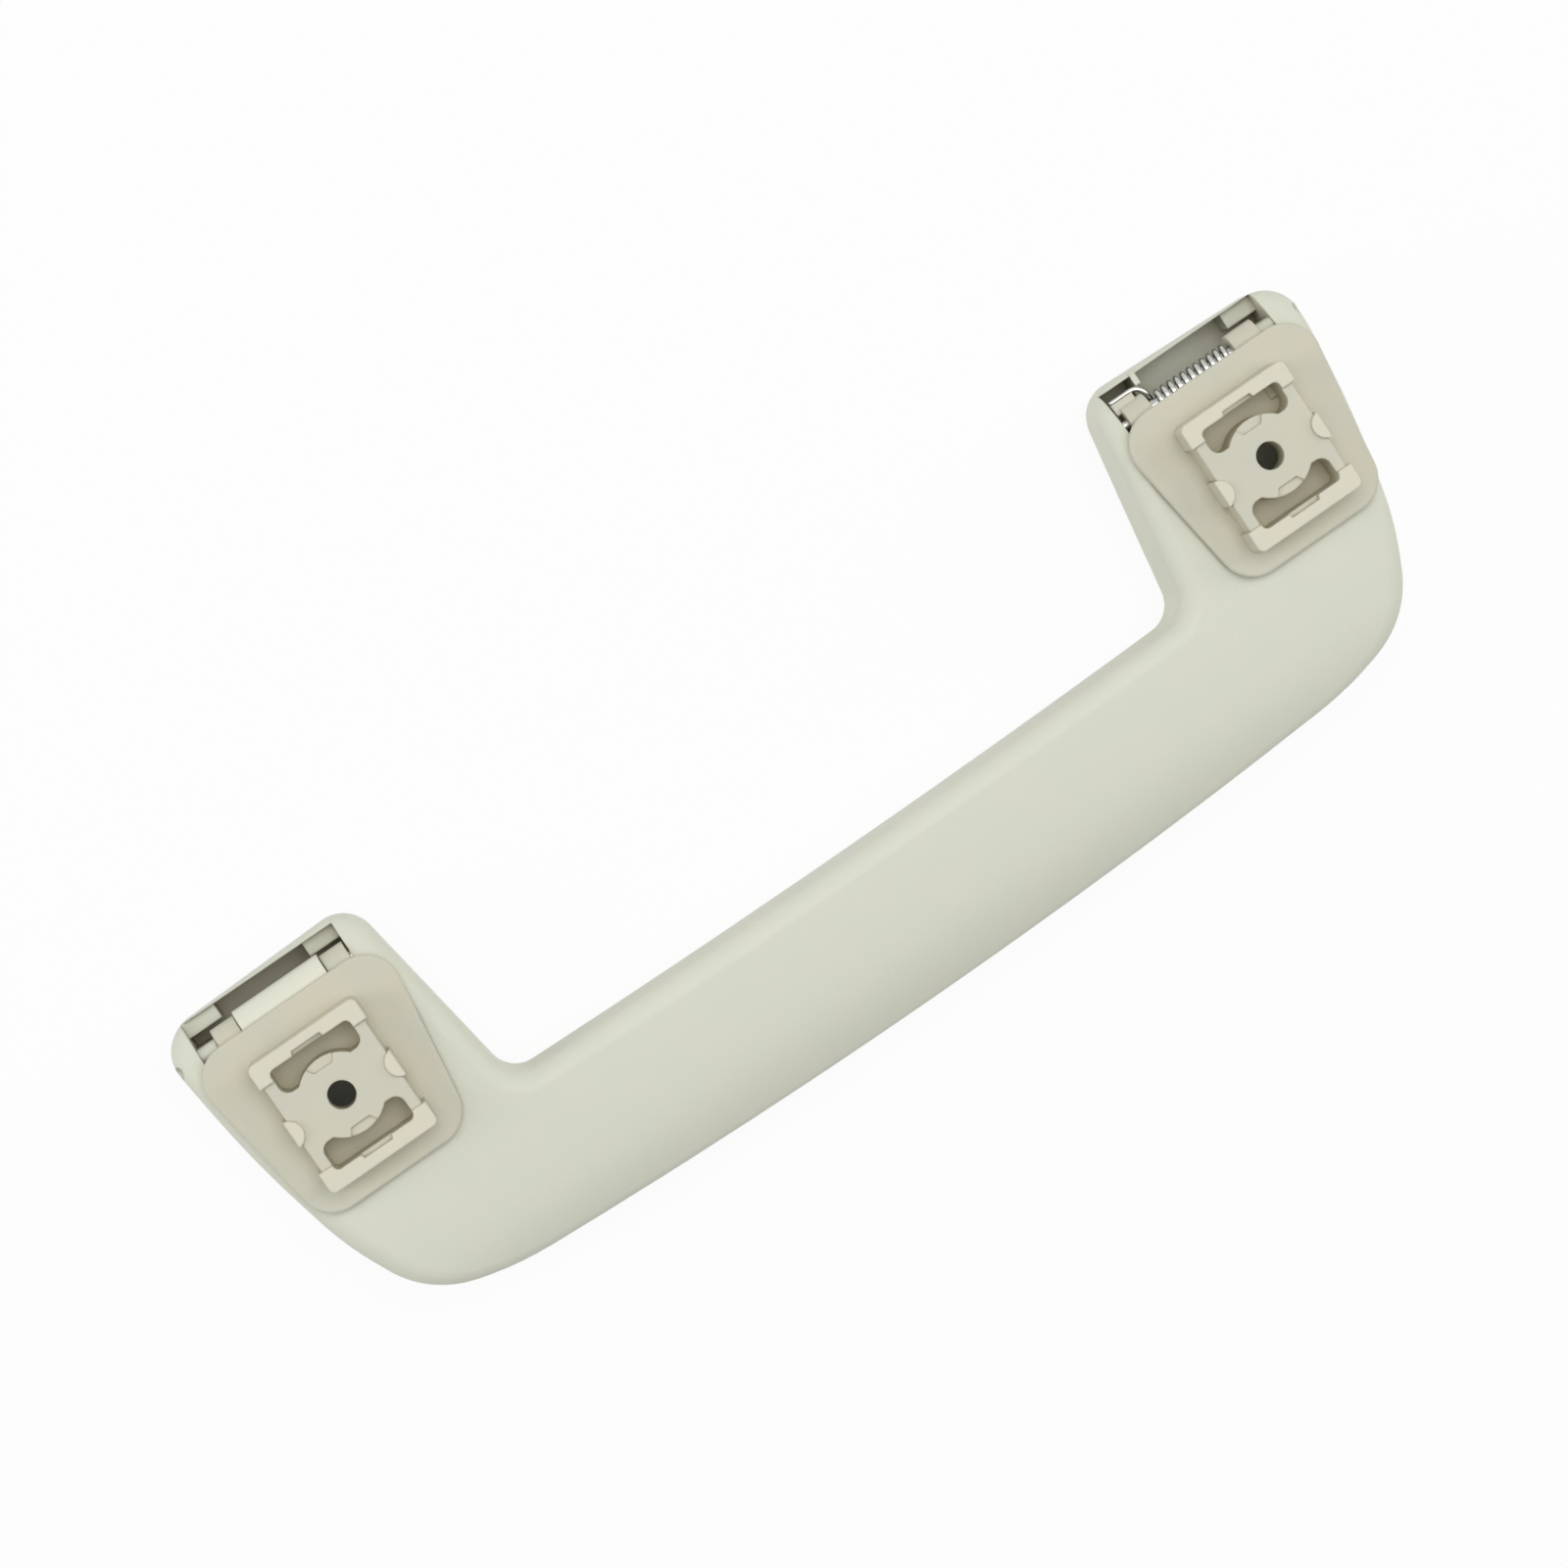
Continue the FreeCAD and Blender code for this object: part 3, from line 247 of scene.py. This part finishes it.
FINISHES = {
    "handle_body": handle_plastic,
    "damper_bracket": bracket_plastic,
    "spring_bracket": bracket_plastic,
    "damper_hinge_pin": pin_steel,
    "spring_hinge_pin": pin_steel,
    "torsion_spring": spring_steel,
    "damper_housing": damper_plastic,
    "damper_end_cap": damper_plastic,
    "damper_rotor": damper_plastic,
    "damper_seal": seal_rubber,
}
for node_name, material in FINISHES.items():
    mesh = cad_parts[node_name].data
    mesh.materials.clear()
    mesh.materials.append(material)
    for polygon in mesh.polygons:
        polygon.material_index = 0


# Torsion spring, which twists between the handle and its bracket: lengths in millimetres

MM = 0.001
AXIS = Vector((0.0, 17.9, -11.2))
WIRE_RADIUS = 0.5
WIRE_SIDES = 14
COIL_X = 88.0
COIL_REACH = 1.95
COIL_PITCH = 1.4
COIL_TURNS = 10.99
COIL_ANGLE = -55.0
COIL_STEPS_PER_TURN = 40
LEG_END_X = 81.1
LEG_BEND_X = 85.4
LEG_REACH = 4.6
TAB_DROP = 0.3
TAB_GAP = 0.1
LEG_STEPS = 6
BEND_STEPS = 16
BEND_PULL = 0.45
FLOOR_LEG_STEPS = 8
POCKET_FLOOR_Z = -21.2


def tube(name, path, radius):
    """Sweep a round wire along a list of points in millimetres."""
    mesh = bpy.data.meshes.new(name)
    form = bmesh.new()
    side = Vector((0, 0, 1))
    rings = []
    for index, place in enumerate(path):
        before = path[max(index - 1, 0)]
        after = path[min(index + 1, len(path) - 1)]
        way = (after - before).normalized()
        side = (side - way * side.dot(way)).normalized()
        other = way.cross(side)
        ring = []
        for step in range(WIRE_SIDES):
            turn = 2 * math.pi * step / WIRE_SIDES
            outward = side * math.cos(turn) + other * math.sin(turn)
            ring.append(form.verts.new((place + outward * radius) * MM))
        rings.append(ring)
    for ring, following in zip(rings, rings[1:]):
        for step in range(WIRE_SIDES):
            near = (step + 1) % WIRE_SIDES
            form.faces.new((ring[step], ring[near], following[near], following[step]))
    form.faces.new(rings[0][::-1])
    form.faces.new(rings[-1])
    bmesh.ops.recalc_face_normals(form, faces=form.faces)
    form.to_mesh(mesh)
    form.free()
    for polygon in mesh.polygons:
        polygon.use_smooth = len(polygon.vertices) == 4
    piece = bpy.data.objects.new(name, mesh)
    bpy.context.scene.collection.objects.link(piece)
    return piece


def coil_path():
    """Give the points of the coil, which winds back round the axis as it runs along X."""
    steps = int(COIL_TURNS * COIL_STEPS_PER_TURN)
    places = []
    for step in range(steps + 1):
        done = COIL_TURNS * step / steps
        turn = math.radians(COIL_ANGLE - 360 * done)
        places.append(Vector((COIL_X + COIL_PITCH * done,
                              AXIS.y + COIL_REACH * math.cos(turn),
                              AXIS.z + COIL_REACH * math.sin(turn))))
    return places


def eased(first, first_way, last, last_way):
    """Give a smooth run between two points that leaves and arrives in given directions."""
    pull = (last - first).length * BEND_PULL
    leaving = first + first_way * pull
    arriving = last - last_way * pull
    places = []
    for step in range(1, BEND_STEPS):
        u = step / BEND_STEPS
        v = 1 - u
        places.append(first * v ** 3 + leaving * 3 * v * v * u
                      + arriving * 3 * v * u * u + last * u ** 3)
    return places


def spring_path():
    """Give the wire's points: the leg under the bracket's tab, the coil, the leg on the floor."""
    coil = coil_path()
    leg_y = AXIS.y + LEG_REACH
    leg_z = AXIS.z - TAB_DROP - WIRE_RADIUS - TAB_GAP
    leg_end = Vector((LEG_END_X, leg_y, leg_z))
    leg_bend = Vector((LEG_BEND_X, leg_y, leg_z))
    into_coil = (coil[1] - coil[0]).normalized()
    lift = [leg_end + (leg_bend - leg_end) * step / LEG_STEPS for step in range(LEG_STEPS + 1)]
    lift += eased(leg_bend, Vector((1, 0, 0)), coil[0], into_coil)
    out_of_coil = (coil[-1] - coil[-2]).normalized()
    run_down = (coil[-1].z - POCKET_FLOOR_Z - WIRE_RADIUS) / -out_of_coil.z
    hold = [coil[-1] + out_of_coil * run_down * step / FLOOR_LEG_STEPS
            for step in range(1, FLOOR_LEG_STEPS + 1)]
    return lift + coil + hold


spring = tube("torsion_spring_wire", spring_path(), WIRE_RADIUS)
spring.data.materials.append(spring_steel)
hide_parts("torsion_spring")
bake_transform(spring)


# Stage: a white floor and backdrop, soft light from above and from both ends, and the camera

FLOOR_SIZE = 6.0
FLOOR_GAP = 0.0002
FLOOR_WHITE = 0.92
BACKDROP_WHITE = 0.98
WORLD_LIGHT = 0.38
LAMPS = (
    ("lamp_above", (0.1, 0.22, 1.2), (1.0, 1.0), 7.35),
    ("lamp_left", (-1.0, 0.45, 0.6), (0.6, 0.8), 3.6),
    ("lamp_right", (1.1, 0.0, 0.6), (0.6, 0.8), 3.1),
)
CAMERA_PLACE = (-0.058, 0.060, 0.730)
CAMERA_TARGET = (-0.0049461, 0.0009064, 0.0)
CAMERA_UP = (0.56348, 0.82613, 0.0)
CAMERA_LENS = 97.788
CAMERA_SENSOR = 36.0
CAMERA_NEAR = 0.01


def seen_directly(tree):
    """Give a factor that is 1 for rays from the camera and those that gloss or glass sends on."""
    path = tree.nodes.new("ShaderNodeLightPath")
    factor = path.outputs["Is Camera Ray"]
    for kind in ("Is Glossy Ray", "Is Transmission Ray"):
        either = tree.nodes.new("ShaderNodeMath")
        either.operation = "MAXIMUM"
        tree.links.new(factor, either.inputs[0])
        tree.links.new(path.outputs[kind], either.inputs[1])
        factor = either.outputs[0]
    return factor


def studio_world():
    """Light the scene evenly, with a white backdrop where the world is seen directly."""
    world = bpy.data.worlds.new("studio")
    bpy.context.scene.world = world
    world.use_nodes = True
    tree = world.node_tree
    sky = tree.nodes["Background"]
    sky.inputs["Color"].default_value = (1, 1, 1, 1)
    strength = tree.nodes.new("ShaderNodeMapRange")
    strength.inputs["To Min"].default_value = WORLD_LIGHT
    strength.inputs["To Max"].default_value = BACKDROP_WHITE
    tree.links.new(seen_directly(tree), strength.inputs["Value"])
    tree.links.new(strength.outputs["Result"], sky.inputs["Strength"])


def stage_floor():
    """Lay a white floor under the handle, which keeps its shadow."""
    bpy.ops.mesh.primitive_plane_add(size=FLOOR_SIZE, location=(0, 0, cad_box[0][2] - FLOOR_GAP))
    floor = bpy.context.object
    floor.name = "floor"
    material = bpy.data.materials.new("floor_white")
    material.use_nodes = True
    tree = material.node_tree
    main = tree.nodes["Principled BSDF"]
    main.inputs["Base Color"].default_value = (0.86, 0.86, 0.85, 1)
    main.inputs["Roughness"].default_value = 0.9
    main.inputs["Specular IOR Level"].default_value = 0.1
    glow = tree.nodes.new("ShaderNodeEmission")
    glow.inputs["Color"].default_value = (1, 1, 1, 1)
    share = tree.nodes.new("ShaderNodeMath")
    share.operation = "MULTIPLY"
    share.inputs[1].default_value = FLOOR_WHITE
    mixed = tree.nodes.new("ShaderNodeMixShader")
    tree.links.new(seen_directly(tree), share.inputs[0])
    tree.links.new(share.outputs[0], mixed.inputs[0])
    tree.links.new(main.outputs[0], mixed.inputs[1])
    tree.links.new(glow.outputs[0], mixed.inputs[2])
    tree.links.new(mixed.outputs[0], tree.nodes["Material Output"].inputs["Surface"])
    floor.data.materials.append(material)


def hang_lamp(name, place, size, power):
    """Hang a soft lamp that faces the middle of the handle."""
    data = bpy.data.lights.new(name, "AREA")
    data.shape = "RECTANGLE"
    data.size, data.size_y = size
    data.energy = power
    lamp = bpy.data.objects.new(name, data)
    lamp.location = place
    lamp.rotation_euler = (-Vector(place)).to_track_quat("-Z", "Y").to_euler()
    bpy.context.scene.collection.objects.link(lamp)


def set_camera():
    """Aim the camera at the handle, with a given upward direction in the picture."""
    data = bpy.data.cameras.new("camera")
    data.sensor_width = CAMERA_SENSOR
    data.lens = CAMERA_LENS
    data.clip_start = CAMERA_NEAR
    back = (Vector(CAMERA_PLACE) - Vector(CAMERA_TARGET)).normalized()
    right = Vector(CAMERA_UP).cross(back).normalized()
    over = back.cross(right)
    camera = bpy.data.objects.new("camera", data)
    turn = Matrix((right, over, back)).transposed().to_4x4()
    camera.matrix_world = Matrix.Translation(CAMERA_PLACE) @ turn
    bpy.context.scene.collection.objects.link(camera)
    bpy.context.scene.camera = camera


studio_world()
stage_floor()
for lamp in LAMPS:
    hang_lamp(*lamp)
set_camera()

bpy.context.scene.view_settings.view_transform = "Standard"
